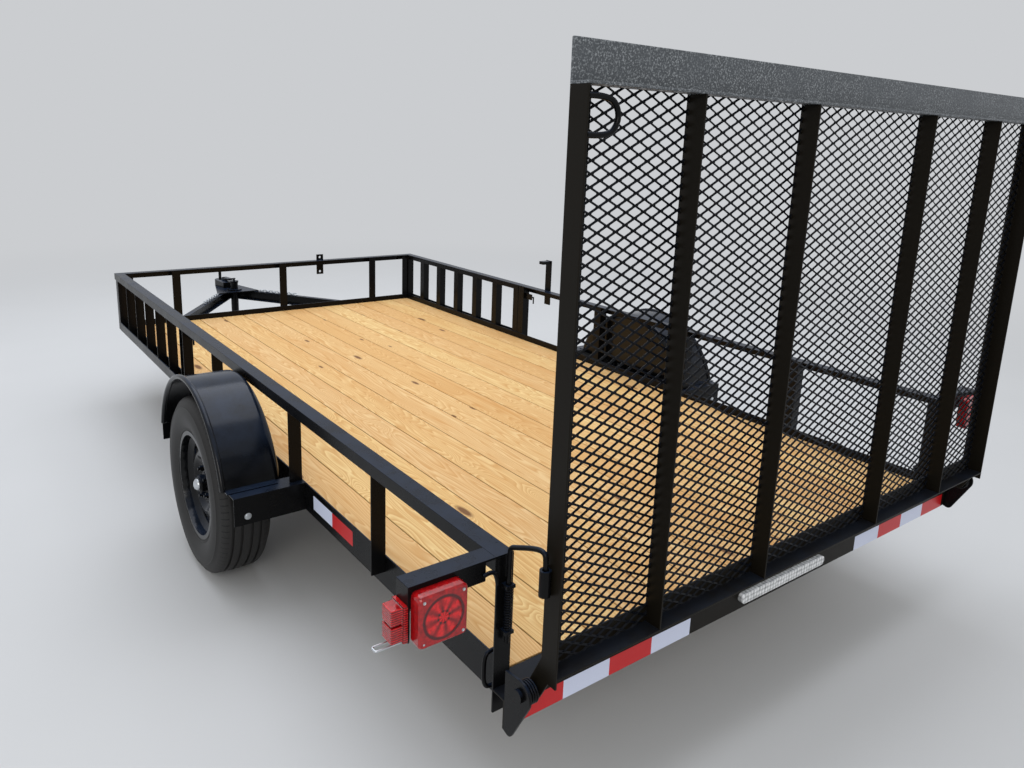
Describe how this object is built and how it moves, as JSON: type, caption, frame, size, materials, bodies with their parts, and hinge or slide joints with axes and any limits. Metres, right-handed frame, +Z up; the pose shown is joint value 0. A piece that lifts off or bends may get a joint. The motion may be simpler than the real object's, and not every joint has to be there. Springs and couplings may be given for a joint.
{
  "type": "utility trailer",
  "caption": "Single-axle flat utility trailer with a wood deck, angle iron rails with stowed side ramps, round fenders, A-frame tongue with jack and a hinged mesh ramp gate.",
  "frame": {"origin": "on the floor, under the middle of the trailer's length and width", "axes": "+X forward to the coupler, +Y to the trailer's left, +Z up"},
  "size_m": [5.569, 2.6864, 1.862],
  "materials": {
    "black_paint": "gloss black enamel over steel",
    "wheel_black": "gloss black enamel",
    "tyre": "radial tyre rubber",
    "zinc": "bright zinc plate",
    "pine": "pressure treated pine boards",
    "red_lens": "moulded red lens",
    "clear_lens": "silvered lens bar"
  },
  "bodies": {
    "trailer": {"axle": "black_paint", "coupler": "black_paint", "coupler_latch": "zinc", "deck_boards": "pine", "fender_brackets": "black_paint", "fender_left": "black_paint", "fender_right": "black_paint", "frame_front": "black_paint", "frame_side_left": "black_paint", "frame_side_right": "black_paint", "gate_latches": "zinc", "gate_springs": "zinc", "hinge_ears": "black_paint", "hinge_pins": "zinc", "id_light_bar": "clear_lens", "jack_body": "zinc", "jack_crank": "zinc", "joists": "black_paint", "lamp_arms": "black_paint", "latch_guides": "black_paint", "latch_springs": "zinc", "leaf_springs": "black_paint", "loop_clips": "zinc", "posts_front": "black_paint", "posts_left": "black_paint", "posts_right": "black_paint", "rail_front": "black_paint", "rail_left": "black_paint", "rail_plate": "black_paint", "rail_right": "black_paint", "ramp_latches": "zinc", "ramp_markers": "red_lens", "rear_sill": "black_paint", "safety_chains": "zinc", "side_markers": "red_lens", "side_ramp_left": "black_paint", "side_ramp_right": "black_paint", "spare_carrier": "black_paint", "spring_hangers": "black_paint", "spring_seats": "black_paint", "tail_lamps": "red_lens", "tongue_left": "black_paint", "tongue_right": "black_paint"},
    "gate": {"gate_frame": "black_paint", "gate_lip": "black_paint", "gate_loop": "zinc", "gate_mesh": "black_paint", "gate_sleeves": "black_paint", "gate_uprights": "black_paint"},
    "wheel_left_body": {"tyre_left": "tyre", "wheel_left": "wheel_black", "hub_left": "zinc"},
    "wheel_right_body": {"tyre_right": "tyre", "wheel_right": "wheel_black", "hub_right": "zinc"},
    "jack_leg_body": {"jack_leg": "zinc"}
  },
  "joints": [
    {"name": "wheel_left_spin", "type": "hinge", "parent": "trailer", "child": "wheel_left_body", "pos_m": [-0.9475, 1.17, 0.344], "axis": [0, 1, 0], "continuous": true},
    {"name": "wheel_right_spin", "type": "hinge", "parent": "trailer", "child": "wheel_right_body", "pos_m": [-0.9475, -1.17, 0.344], "axis": [0, 1, 0], "continuous": true},
    {"name": "gate_swing", "type": "hinge", "parent": "trailer", "child": "gate", "pos_m": [-2.7135, 0, 0.488], "axis": [0, -1, 0], "range_deg": [0, 108]},
    {"name": "jack_slide", "type": "slide", "parent": "trailer", "child": "jack_leg_body", "axis": [0, 0, 1], "range_m": [0, 0.18]}
  ]
}
